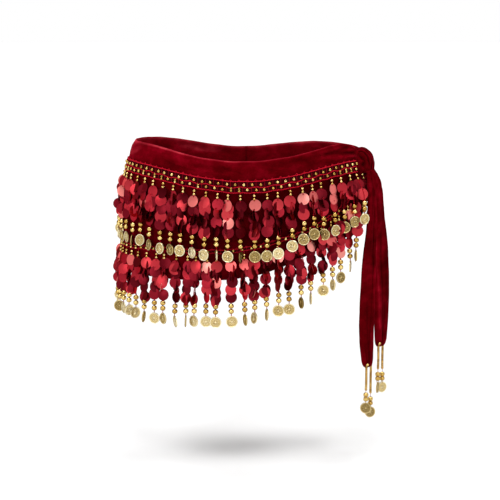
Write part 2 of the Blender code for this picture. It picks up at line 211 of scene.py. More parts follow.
# Velvet folded lengthwise: its section across the strip and outward, as shares of its size.
FOLDED_SECTION = (
    (-0.06, 0.16),
    (-0.36, 0.10),
    (-0.50, 0.42),
    (-0.42, 0.82),
    (-0.14, 0.97),
    (0.10, 0.86),
    (0.30, 0.97),
    (0.46, 0.70),
    (0.48, 0.34),
    (0.34, 0.08),
    (0.06, 0.14),
)
KNOT_WRAP = (  # x, y, z of its inner face, width, thickness, outward x, y, z
    (155.6, -24, 4, 11, 7, -0.60, -0.50, 0.30),
    (156.2, -27, 10.6, 13, 8.5, -0.35, -0.60, 0.55),
    (160.4, -30.6, 13.8, 14.5, 9.5, 0.05, -0.72, 0.68),
    (165.6, -32.6, 12, 15.5, 10.5, 0.46, -0.78, 0.40),
    (168.8, -33.6, 5.6, 16, 10.8, 0.60, -0.80, 0.05),
    (169.6, -34.4, -3, 16.5, 10.2, 0.60, -0.80, -0.05),
    (169, -35.4, -12, 18, 9, 0.58, -0.81, -0.05),
)
LONG_TAIL = (  # height, x, y of the front edge, x, y of the back edge, thickness
    (-7, 167, -50, 172.5, -43, 5.5),
    (-22, 167.2, -56, 175, -46.5, 7),
    (-50, 167.4, -61.5, 177.5, -50, 7.5),
    (-85, 165.8, -68, 179, -54, 7.5),
    (-122, 161.6, -71.5, 179.5, -56, 7),
    (-165, 159.2, -72.5, 179.8, -57, 6.5),
    (-205, 158, -72, 179.4, -57, 6.5),
    (-238, 158.4, -71.5, 179.2, -57, 6),
    (-266, 161, -71, 179.2, -57.5, 5.5),
    (-285, 163.6, -70, 179.2, -58, 5),
)
SHORT_TAIL = (
    (-6, 171.5, -42, 177, -32, 5),
    (-17, 173, -42.5, 183, -28.5, 7),
    (-32, 175, -43.5, 187.6, -26.5, 7.5),
    (-50, 176.5, -45, 190, -26, 7.5),
    (-72, 177.5, -46, 192.5, -25, 7.5),
    (-105, 177.5, -47, 198, -24, 7.5),
    (-140, 177.5, -47.5, 201, -22, 7.5),
    (-175, 178, -47.5, 203, -20, 7),
    (-205, 180, -47, 203.2, -19.5, 6.5),
    (-240, 182, -46, 202, -20, 6),
    (-262, 183.5, -44, 200.5, -23, 5.5),
)
# Folds along a strip: share of its length and of its section where each starts, the same where it ends, half
# width and depth. A negative depth is a ridge.
WRAP_FOLDS = (
    (0, 0.4, 0.85, 0.36, 0.026, 0.2),
    (0.1, 0.5, 1, 0.47, 0.026, 0.22),
    (0.2, 0.58, 0.95, 0.6, 0.022, 0.16),
    (0.15, 0.45, 0.8, 0.43, 0.018, -0.12),
    (0.25, 0.55, 1, 0.53, 0.016, -0.12),
)
LONG_TAIL_FOLDS = (
    (0, 0.46, 0.55, 0.55, 0.03, 0.12),
    (0.22, 0.62, 1, 0.5, 0.022, 0.1),
    (0, 0.4, 0.3, 0.37, 0.03, 0.1),
    (0.62, 0.42, 1, 0.47, 0.026, 0.08),
    (0.05, 0.65, 0.98, 0.65, 0.018, -0.1),
    (0.45, 0.58, 1, 0.56, 0.022, -0.06),
    (0.86, 0.38, 1, 0.43, 0.02, 0.12),
)
SHORT_TAIL_FOLDS = (
    (0.3, 0.4, 1, 0.47, 0.03, 0.12),
    (0.32, 0.3, 0.97, 0.38, 0.034, -0.12),
    (0.1, 0.6, 0.85, 0.56, 0.04, 0.09),
    (0, 0.66, 0.35, 0.62, 0.022, -0.07),
    (0.7, 0.5, 1, 0.48, 0.022, 0.12),
    (0.88, 0.58, 1, 0.53, 0.018, 0.12),
)
TASSELS = (  # name, turn that its coin faces
    ("long_tail_front_tassel", 100),
    ("long_tail_back_tassel", 70),
    ("short_tail_front_tassel", 18),
    ("short_tail_back_tassel", 62),
)


# --- curves through the tables ---
def smooth(at, xs, ys):
    """Curves that pass through a table's points with an even slope at each. ys may have many columns."""
    at = np.atleast_1d(np.asarray(at, float))
    xs, ys = np.asarray(xs, float), np.asarray(ys, float)
    slopes = np.gradient(ys, xs, axis=0)
    at = np.clip(at, xs[0], xs[-1])
    i = np.clip(np.searchsorted(xs, at, side="right") - 1, 0, len(xs) - 2)
    width, u = xs[i + 1] - xs[i], (at - xs[i]) / (xs[i + 1] - xs[i])
    if ys.ndim > 1:
        width, u = width[:, None], u[:, None]
    start, end = ys[i] + slopes[i] * width * u, ys[i + 1] - slopes[i + 1] * width * (1 - u)
    blend = u * u * (3 - 2 * u)
    return start * (1 - blend) + end * blend


def resampled(table, count):
    """This many rows, evenly spaced along the table."""
    rows = np.array(table)
    return smooth(np.linspace(0, 1, count), np.linspace(0, 1, len(rows)), rows)


def unit(vectors):
    return vectors / np.linalg.norm(vectors, axis=-1, keepdims=True)


def bell(value, width):
    """1 at 0, and next to nothing two widths away."""
    return np.exp(-((value / width) ** 2))


def station(column, turns):
    rows = np.array(STATIONS)
    return smooth(turns, rows[:, 0], rows[:, STATION_COLUMNS.index(column)]) * MM


def figure_at(heights):
    rows = np.array(FIGURE[::-1]) * MM
    return smooth(heights, rows[:, 0], rows[:, 1]), smooth(heights, rows[:, 0], rows[:, 2])


def on_figure(turns, heights, offsets=0.0):
    """Points and outward directions at these turns and heights, moved out by the offsets."""
    turns, heights, offsets = np.broadcast_arrays(turns, heights, offsets)
    shape = turns.shape
    angles = np.radians(turns.ravel().astype(float))
    half_width, half_depth = figure_at(heights.ravel())
    out = unit(np.stack([np.cos(angles) / half_width, -np.sin(angles) / half_depth, 0 * angles], -1))
    points = np.stack([half_width * np.cos(angles), -half_depth * np.sin(angles), heights.ravel()], -1)
    points = points + out * offsets.ravel()[:, None]
    return points.reshape(*shape, 3), out.reshape(*shape, 3)


def crease(turns, heights):
    lift = np.zeros(np.broadcast(turns, heights).shape)
    for start, start_height, end, end_height, half_width, depth in CREASES:
        along = (turns - start) / (end - start)
        middle = (start_height + (end_height - start_height) * along) * MM
        # One that starts or ends at the knot is deepest there; the others swell in the middle.
        if start < BY_THE_KNOT:
            swell = np.cos(along * math.pi / 2) * np.clip((turns - PANEL_START) / 5, 0.1, 1)
        elif end == PANEL_END:
            swell = np.sin(along * math.pi / 2)
        else:
            swell = np.sin(along * math.pi)
        section = depth * MM * np.clip(swell, 0, 1) * bell(heights - middle, half_width * MM)
        lift += np.where((along >= 0) & (along <= 1), section, 0)
    return lift


def arc_turns(start, end, pitch, height):
    """Turns spaced by this pitch along the figure, at this height."""
    fine = np.linspace(start, end, 2000)
    points, _ = on_figure(fine, height)
    run = np.concatenate([[0], np.cumsum(np.linalg.norm(np.diff(points, axis=0), axis=1))])
    count = max(int(round(run[-1] / pitch)), 1)
    return np.interp(np.linspace(0, run[-1], count + 1), run, fine), run[-1]


# --- meshes ---
class Batch:
    """Many small solids gathered into one mesh. Each keeps a tone from 0 to 1, for its material."""

    def __init__(self):
        self.points, self.faces, self.tones, self.count = [], [], [], 0

    def add(self, points, faces, tone=0.5):
        points = np.asarray(points, float)
        self.points.append(points)
        self.faces += [tuple(index + self.count for index in face) for face in faces]
        self.tones.append(np.broadcast_to(np.float32(tone), len(points)))
        self.count += len(points)

    def object(self, name, material, sharp=42.0):
        points, tones = np.concatenate(self.points), np.concatenate(self.tones)
        return built(name, points, self.faces, tones, material, sharp)


def built(name, points, faces, tones, material, sharp):
    """An object with edges sharper than this angle kept hard. Each point keeps a tone, for its material."""
    mesh = bpy.data.meshes.new(name)
    mesh.from_pydata(points.tolist(), [], faces)
    mesh.attributes.new("tone", "FLOAT", "POINT").data.foreach_set("value", tones.astype(np.float32))
    mesh.validate()
    mesh.shade_smooth()
    mesh.set_sharp_from_angle(angle=math.radians(sharp))
    mesh.materials.append(material)
    return new_object(name, mesh)


def new_object(name, data):
    obj = bpy.data.objects.new(name, data)
    bpy.context.scene.collection.objects.link(obj)
    return obj


def shell(name, inner, outer, material, tones, sharp=80.0):
    """A closed shell between two grids of points, [column][row]. The tones are a grid too, or one for all."""
    columns, rows = inner.shape[:2]
    shift = columns * rows
    points = np.concatenate([inner.reshape(-1, 3), outer.reshape(-1, 3)])
    index = np.arange(shift).reshape(columns, rows)
    corners = (index[:-1, :-1], index[1:, :-1], index[1:, 1:], index[:-1, 1:])
    inside = np.stack([corner.ravel() for corner in corners], 1)
    rim = np.concatenate([index[:, 0], index[-1, 1:], index[-2::-1, -1], index[0, -2:0:-1]])
    after = np.roll(rim, -1)
    edge = np.stack([after, rim, rim + shift, after + shift], 1)
    faces = np.concatenate([inside, inside[:, ::-1] + shift, edge])
    tones = np.tile(np.broadcast_to(tones, (columns, rows)).ravel(), 2)
    obj = built(name, points, faces.tolist(), tones, material, sharp)
    if signed_volume(points, faces) < 0:
        obj.data.flip_normals()
    return obj


def signed_volume(points, faces):
    """Six times the volume inside these four-sided faces. It is negative where they face inward."""
    a, b, c, d = (points[faces[:, i]] for i in range(4))
    first = np.einsum("ij,ij->i", a, np.cross(b, c)).sum()
    return first + np.einsum("ij,ij->i", a, np.cross(c, d)).sum()


def tube(points, radii, sides, reference):
    """A closed tube along the points. The reference direction, one or one for each point, sets its roll."""
    points = np.asarray(points, float)
    along = unit(np.gradient(points, axis=0))
    reference = np.broadcast_to(reference, points.shape)
    side = unit(np.cross(along, reference))
    front = np.cross(side, along)
    angle = np.arange(sides) * 2 * math.pi / sides
    radii = np.broadcast_to(radii, len(points))[:, None, None]
    ring = front[:, None] * np.cos(angle)[None, :, None] + side[:, None] * np.sin(angle)[None, :, None]
    grid = points[:, None] + ring * radii
    faces = []
    for i in range(len(points) - 1):
        for k in range(sides):
            step = (k + 1) % sides
            faces.append((i * sides + k, i * sides + step, (i + 1) * sides + step, (i + 1) * sides + k))
    faces.append(tuple(range(sides - 1, -1, -1)))
    last = (len(points) - 1) * sides
    faces.append(tuple(last + k for k in range(sides)))
    return grid.reshape(-1, 3), faces


def turned(rings, around):
    """A closed solid turned about Z. Its rings are radius and height, which may differ round the ring. The
    first and the last are points on the axis."""
    angles = ring_angles(around)
    points = [(0.0, 0.0, rings[0][1])]
    for radius, height in rings[1:-1]:
        points += zip(radius * np.cos(angles), radius * np.sin(angles), np.broadcast_to(height, around))
    last = len(points)
    points.append((0.0, 0.0, rings[-1][1]))
    faces = []
    for k in range(around):
        step = (k + 1) % around  # the next point round
        faces += [(0, 1 + k, 1 + step), (last, last - around + step, last - around + k)]
        for a in range(1, last - around, around):
            b = a + around
            faces.append((a + k, b + k, b + step, a + step))
    return np.array(points), faces


def ring_angles(around):
    return np.arange(around) * 2 * math.pi / around


def sphere(radius, around, rings, squash=1.0):
    polar = np.linspace(0, math.pi, rings + 1)
    return turned(list(zip(radius * np.sin(polar), radius * squash * np.cos(polar))), around)


def placed(points, origin, x_axis, y_axis, z_axis):
    return origin + points @ np.stack([x_axis, y_axis, z_axis])


# --- materials ---
class Shader:
    """A Principled material that is put together node by node."""

    def __init__(self, name):
        self.material = bpy.data.materials.new(name)
        self.material.use_nodes = True
        self.tree = self.material.node_tree
        self.shader = self.tree.nodes["Principled BSDF"]

    def set(self, **values):
        for name, value in values.items():
            self.shader.inputs[name.replace("_", " ")].default_value = value
        return self

    def node(self, kind, **values):
        node = self.tree.nodes.new(kind)
        for name, value in values.items():
            if name in node.inputs:
                node.inputs[name].default_value = value
            else:
                setattr(node, name, value)
        return node

    def link(self, source, target):
        self.tree.links.new(source, target)

    def noise(self, scale, detail, stretch=(1, 1, 1), roughness=0.55):
        place = self.node("ShaderNodeMapping", Scale=stretch)
        self.link(self.node("ShaderNodeTexCoord").outputs["Object"], place.inputs["Vector"])
        noise = self.node("ShaderNodeTexNoise", Scale=scale, Detail=detail, Roughness=roughness)
        self.link(place.outputs["Vector"], noise.inputs["Vector"])
        return noise.outputs["Fac"]

    def ramp(self, source, *stops):
        ramp = self.node("ShaderNodeValToRGB")
        elements = ramp.color_ramp.elements
        while len(elements) < len(stops):
            elements.new(0.5)
        for element, (position, colour) in zip(elements, stops):
            element.position = position
            element.color = (*colour, 1.0)
        self.link(source, ramp.inputs["Fac"])
        return ramp.outputs["Color"]

    def times(self, first, second):
        mix = self.node("ShaderNodeMix", data_type="RGBA", blend_type="MULTIPLY", Factor=1.0)
        self.link(first, mix.inputs["A"])
        self.link(second, mix.inputs["B"])
        return mix.outputs["Result"]

    def bump(self, source, strength, distance, before=None):
        bump = self.node("ShaderNodeBump", Strength=strength, Distance=distance)
        self.link(source, bump.inputs["Height"])
        if before:
            self.link(before, bump.inputs["Normal"])
        return bump.outputs["Normal"]

    def tone(self):
        """The tone that each point of a mesh keeps."""
        return self.node("ShaderNodeAttribute", attribute_name="tone").outputs["Fac"]

    def finish(self, colour, normal):
        self.link(colour, self.shader.inputs["Base Color"])
        self.link(normal, self.shader.inputs["Normal"])
        return self.material


def velvet_material():
    look = Shader("crimson_velvet")
    look.set(Roughness=0.95, Sheen_Weight=0.20, Sheen_Roughness=0.30, Sheen_Tint=(1.0, 0.05, 0.11, 1.0))
    look.set(Specular_IOR_Level=0.0)
    nap = look.ramp(
        look.noise(42.0, 7.0, stretch=(0.9, 0.9, 1.3), roughness=0.62),
        (0.30, (0.075, 0.0002, 0.0016)),
        (0.50, (0.150, 0.0004, 0.0040)),
        (0.70, (0.27, 0.0016, 0.0110)),
    )
    # Past a tone of 0.8 the colour turns pale pink: a painted sheen highlight on the top edge's fold and on
    # ridges.
    shade = look.ramp(
        look.tone(),
        (0.0, (0.20, 0.12, 0.12)),
        (0.5, (0.62, 0.5, 0.5)),
        (0.8, (1.0, 1.0, 1.0)),
        (1.0, (2.0, 28.0, 5.5)),
    )
    pile = look.bump(look.noise(1400.0, 2.0), 0.25, 0.0004)
    return look.finish(look.times(nap, shade), look.bump(look.noise(38.0, 3.0), 0.30, 0.0022, pile))


def thread_material(name, dark, light):
    look = Shader(name)
    look.set(Roughness=0.8, Specular_IOR_Level=0.03)
    # A low tone darkens a thread: painted shade, given to the bars between the beads, the fringe's threads and
    # the lower trim under the upper fringe.
    shade = look.ramp(look.tone(), (0.0, (0.12, 0.10, 0.10)), (1.0, (1.0, 1.0, 1.0)))
    colour = look.ramp(look.noise(900.0, 2.0), (0.3, dark), (0.7, light))
    return look.finish(look.times(colour, shade), look.bump(look.noise(1600.0, 2.0), 0.5, 0.0005))


def sequin_material():
    look = Shader("red_sequins")
    look.set(Metallic=1.0, Roughness=0.33, Specular_Tint=(0.8, 0.22, 0.26, 1.0))
    look.set(Coat_Weight=0.05, Coat_Roughness=0.20)
    # Dark tones are painted reflection of dim surroundings, the pale pink top a painted glint of a bright
    # lamp.
    colour = look.ramp(
        look.tone(),
        (0.0, (0.080, 0.0008, 0.0040)),
        (0.42, (0.20, 0.006, 0.014)),
        (0.60, (0.42, 0.019, 0.030)),
        (0.82, (0.62, 0.048, 0.058)),
        (0.90, (0.78, 0.165, 0.150)),
        (1.0, (0.88, 0.31, 0.26)),
    )
    return look.finish(colour, look.bump(look.noise(420.0, 2.0), 0.12, 0.0006))


def gold_material(name, roughness, grain, wear, *finish):
    """A plating whose colour runs with the tone from dark through plain to light. On the beads that is painted
    light, lighter on top; on the coins it is patina with painted shade in the hollows and a painted highlight
    where the relief stands up.
    """
    look = Shader(name)
    look.set(Metallic=1.0, Roughness=roughness, Specular_Tint=(0.14, 0.07, 0.025, 1.0))
    colour = look.ramp(look.tone(), *zip((0.0, 0.5, 1.0), finish))
    return look.finish(colour, look.bump(look.noise(grain, 3.0), wear, 0.0005))


VELVET = velvet_material()
CHAIN = thread_material("crimson_crochet_thread", (0.42, 0.003, 0.014), (0.74, 0.012, 0.032))
# Dark thread colour for the band behind the crochet: painted shade.
PAINTED_SHADE_BEHIND_TRIM = thread_material("painted_shade_behind_crochet", (0.040, 0.0004, 0.0020), (0.085, 0.0006, 0.004))
SEQUINS = sequin_material()
GOLD = gold_material(
    "pale_gold_beads", 0.17, 700.0, 0.06, (0.26, 0.13, 0.022), (0.54, 0.33, 0.075), (0.88, 0.66, 0.25)
)
COINS = gold_material(
    "stamped_gold_coins", 0.28, 520.0, 0.35, (0.08, 0.045, 0.012), (0.60, 0.43, 0.155), (1.0, 0.93, 0.66)
)


# --- velvet panels ---
SEAM_OVERLAP = 0.03  # degrees that a panel reaches past each of its ends
BAND_ROWS, FRINGED_ROWS, COLUMNS_PER_DEGREE = 26, 30, 1.5  # rows above the trim's top, then below it
TRIM_RISE, CREASE_FADE = 6.0 * MM, 6 * MM
RIPPLES, RIPPLE = 7, 0.10 * MM
FAR_HIP, FAR_HIP_REACH = 178, 22
ROLL, ROLL_REACH = 2.6 * MM, 3.6 * MM  # of the top edge over the far hip
SEAM_DIP, SEAM_REACH = 0.9 * MM, 0.55
EDGE_BEAD, EDGE_REACH = 0.5 * MM, 2.0 * MM  # of the lower edge
RIM_TUCK, RIM_RISE = CLOTH * 0.33, 0.35 * MM  # the top row of points closes the fold
# Painted side light: the velvet's change of tone by turn, darker by the knot and lighter round the far hip.
PAINTED_SIDE_LIGHT = ((20, -0.24), (75, -0.20), (130, -0.04), (165, 0.07), (270, 0.04))  # turn, change of tone


def hem_profile(depth):
    """How far the turned edge stands out, this far below the top edge."""
    return 0.7 * MM * bell(depth, 2.4 * MM) - 0.25 * MM * bell(depth - 5.5 * MM, 1.6 * MM)


def velvet_panel(name, start, end, seed):
    turns = np.linspace(start - SEAM_OVERLAP, end + SEAM_OVERLAP, int((end - start) * COLUMNS_PER_DEGREE))
    top, edge = station("top", turns)[:, None], station("velvet", turns)[:, None]
    trim_top = station("upper", turns)[:, None] + TRIM_RISE
    band = np.linspace(0, 1, BAND_ROWS)[None, :]
    below = np.linspace(0, 1, FRINGED_ROWS)[None, 1:]
    heights = np.concatenate([top + (trim_top - top) * band, trim_top + (edge - trim_top) * below], 1)
    across = turns[:, None] * np.ones_like(heights)
    depth = top - heights
    fade = np.clip(depth / CREASE_FADE, 0, 1) * np.clip((heights - trim_top) / CREASE_FADE, 0, 1)
    creases = crease(across, heights) * fade
    lift = creases.copy()
    waves = np.random.default_rng(seed)
    for _ in range(RIPPLES):
        long, high, phase = waves.uniform(9, 26), waves.uniform(26, 60) * MM, waves.uniform(0, 6.3)
        lift += RIPPLE * np.sin(across / long * 2 * math.pi + heights / high * 6 + phase) * fade
    lift += hem_profile(depth)
    # The edge rolls in over the far hip, and at the centre-back seam both panels turn in.
    lift -= ROLL * bell(depth, ROLL_REACH) * bell(across - FAR_HIP, FAR_HIP_REACH)
    lift -= SEAM_DIP * bell(across - CENTRE_BACK, SEAM_REACH)
    lift += EDGE_BEAD * bell(heights - edge, EDGE_REACH)
    outer, out = on_figure(across, heights, lift)
    thick = np.full_like(heights, CLOTH)
    for row, share in ((0, 0.35), (1, 0.85), (-1, 0.5)):
        thick[:, row] *= share
    inner = outer - out * thick[..., None]
    for side in (outer, inner):
        side[:, 0] -= out[:, 0] * RIM_TUCK
        side[:, 0, 2] += RIM_RISE
    # Painted light and shade on the pile: a painted highlight along the top edge's fold, painted shade further
    # down the band, and creases painted light on their ridges and dark in their troughs. Painted side light
    # makes it lighter towards the far hip and round the back, and darker by the knot. It lies dark along the
    # seam, painted shade lies under the fringe, and it is lighter again below 95 mm down.
    tones = 0.80 - 0.22 * np.clip(depth / (28 * MM), 0, 1) + 0.33 * bell(depth, 1.6 * MM)
    tones += 0.17 * creases / MM
    tones += np.interp(across, *zip(*PAINTED_SIDE_LIGHT))
    tones -= 0.30 * bell(across - CENTRE_BACK, 0.6)
    tones -= 0.27 * np.clip((trim_top - 8 * MM - heights) / (12 * MM), 0, 1)
    tones += 0.13 * np.clip((-95 * MM - heights) / (20 * MM), 0, 1)
    return shell(name, inner, outer, VELVET, tones)


# --- crochet trims ---
STITCH_PITCH, STITCH_SWAY, STITCH_JITTER = 1.15 * MM, 0.22 * MM, 0.12 * MM
PICOT = ((-1.5, 0.0), (-1.0, 1.1), (-0.25, 1.9), (0.25, 1.9), (1.0, 1.1), (1.5, 0.0))  # along, up
BAR_REACH = 3.4  # mm above and below the bead
SHADE_BAND_TONE, CHAIN_OFFSET, PICOT_OFFSET, BEAD_OFFSET = 0.6, 1.7 * MM, 1.6 * MM, 2.5 * MM


def chain(batch, row, start, end, height, wave, rng, tone):
    """A crocheted chain: a thread that zigzags along its line, thicker at each stitch."""
    turns, length = arc_turns(start, end, STITCH_PITCH, 0.0)
    steps = np.arange(len(turns))
    run = steps * length / max(len(turns) - 1, 1)
    heights = station(row, turns) + height * MM
    heights = heights + wave * MM * np.sin(run / (2 * TRIM_BEAD_PITCH) * 2 * math.pi)
    heights = heights + STITCH_SWAY * np.where(steps % 2, 1, -1)
    heights += STITCH_JITTER * rng.standard_normal(len(turns))
    points, out = on_figure(turns, heights, CHAIN_OFFSET)
    radii = CHAIN_RADIUS * (1.0 + 0.22 * np.cos(steps * math.pi) + 0.08 * rng.standard_normal(len(turns)))
    batch.add(*tube(points, radii, 6, out), tone=tone)


def picots(batch, row, start, end, height, rng, tone):
    """Small pointed loops along the trim's upper edge."""
    turns, length = arc_turns(start, end, TRIM_BEAD_PITCH, 0.0)
    arch = np.array(PICOT) * MM
    per_metre = (end - start) / length
    for turn in turns[:-1] + 0.5 * TRIM_BEAD_PITCH * per_metre:
        size = rng.uniform(0.75, 1.15)
        loop_turns = turn + arch[:, 0] * per_metre
        heights = station(row, loop_turns) + height * MM + arch[:, 1] * size
        points, out = on_figure(loop_turns, heights, PICOT_OFFSET)
        batch.add(*tube(points, CHAIN_RADIUS * 0.7, 5, out), tone=tone)


def bead_row(batch, threads, row, start, end, height, shift, doubled, rng):
    """Beads spaced along a trim. This share of them is doubled: two smaller ones, one over the other."""
    turns, length = arc_turns(start, end, TRIM_BEAD_PITCH, 0.0)
    per_metre = (end - start) / length
    template, faces = sphere(TRIM_BEAD_RADIUS, 10, 7, 0.86)
    for turn in turns[:-1] + shift * TRIM_BEAD_PITCH * per_metre:
        turn = turn + rng.normal(0, 0.35) * MM * per_metre
        (level,) = station(row, turn) + (height + rng.normal(0, 0.25)) * MM
        pair = rng.random() < doubled
        for step in ((-1.5, 1.5) if pair else (0.0,)):
            centre, out = on_figure(turn, level + step * MM, BEAD_OFFSET)
            points = placed(template * (0.82 if pair else 1.0), centre, np.cross(UP, out), UP, out)
            batch.add(points, faces, rng.uniform(0.2, 1.0))
        # The bar of thread that the bead is strung on, then a plain bar half way to the next bead.
        for bar_shift, radius in ((0.0, 0.34), (0.5, 0.26)):
            bar_turn = turn + bar_shift * TRIM_BEAD_PITCH * per_metre
            (middle,) = station(row, bar_turn) + height * MM
            heights = middle + np.array([-BAR_REACH, 0, BAR_REACH]) * MM
            ends, out = on_figure(bar_turn, heights, BEAD_OFFSET - 0.5 * MM)
            # Their low tone is painted shade between the beads.
            threads.add(*tube(ends, radius * MM, 5, out), tone=0.35)


# A dark band behind a trim: painted shade, seen through the openings of the crochet.
def shade_band_behind_trim(name, row, start, end, high, low):
    turns = np.linspace(start, end, int((end - start) * 1.2))
    heights = station(row, turns)[:, None] + np.linspace(high, low, 5)[None, :] * MM
    across = turns[:, None] * np.ones_like(heights)
    inner, _ = on_figure(across, heights, SHADE_BAND_OFFSET)
    outer, _ = on_figure(across, heights, SHADE_BAND_OFFSET + SHADE_BAND_THICK)
    return shell(name, inner, outer, PAINTED_SHADE_BEHIND_TRIM, SHADE_BAND_TONE, 60.0)


def crochet_trim(name, row, chains, bead_rows, start, end, seed, tone):
    """The trim's chains, picots and beads. Returns the threads and the beads."""
    rng = np.random.default_rng(seed)
    threads, beads = Batch(), Batch()
    for height, wave in chains:
        chain(threads, row, start, end, height, wave, rng, tone)
    picots(threads, row, start, end, chains[0][0], rng, tone * 0.8)
    for placing in bead_rows:
        bead_row(beads, threads, row, start, end, *placing, rng)
    return threads.object(f"{name}_chains", CHAIN), beads.object(f"{name}_beads", GOLD)


# --- fringe ---
def sequin_template(cup):
    """A thin round plate, cupped this many millimetres deep."""
    radii = np.array([0.0, 0.62, 1.0]) * SEQUIN_RADIUS
    bowl = cup * MM * (1 - (radii / SEQUIN_RADIUS) ** 2)
    front, back = zip(radii, bowl + SEQUIN_THICK / 2), zip(radii[::-1], bowl[::-1] - SEQUIN_THICK / 2)
    return turned([*front, *back], SEQUIN_SIDES)


def coin_template(seed):
    """A plate struck with a rosette in a beaded ring. Returns its points, faces and tones."""
    rng = np.random.default_rng(seed)
    petals, phase, ring = rng.integers(5, 9), rng.uniform(0, 6.3), rng.uniform(1.6, 2.6)
    radii, heights = np.array(COIN_RINGS).T * MM

    def relief(radius, turns):
        r = radius / MM
        figure = np.cos(petals * turns + phase) * math.cos(ring * r)
        figure += 0.6 * np.cos(2 * petals * turns - phase)
        beading = 0.30 * np.cos(18 * turns) * bell(r - 5.8, 0.5)
        return (0.40 * figure * bell(r - 2.9, 1.8) + beading) * MM

    angles = ring_angles(COIN_SIDES)
    front = [(radius, height + relief(radius, angles)) for radius, height in zip(radii[1:], heights[1:])]
    back = [(radius, -height - relief(radius, -angles)) for radius, height in zip(radii[1:], heights[1:])]
    points, faces = turned([(0.0, heights[0]), *front, *back[::-1], (0.0, -heights[0])], COIN_SIDES)
    # The metal is bright where it stands up and dark in the hollows: worn patina, and with it a painted
    # highlight on the relief and painted shade in its hollows.
    raised = (np.abs(points[:, 2]) / MM - 0.30) / 0.65
    return points, faces, np.clip(raised, 0, 1)


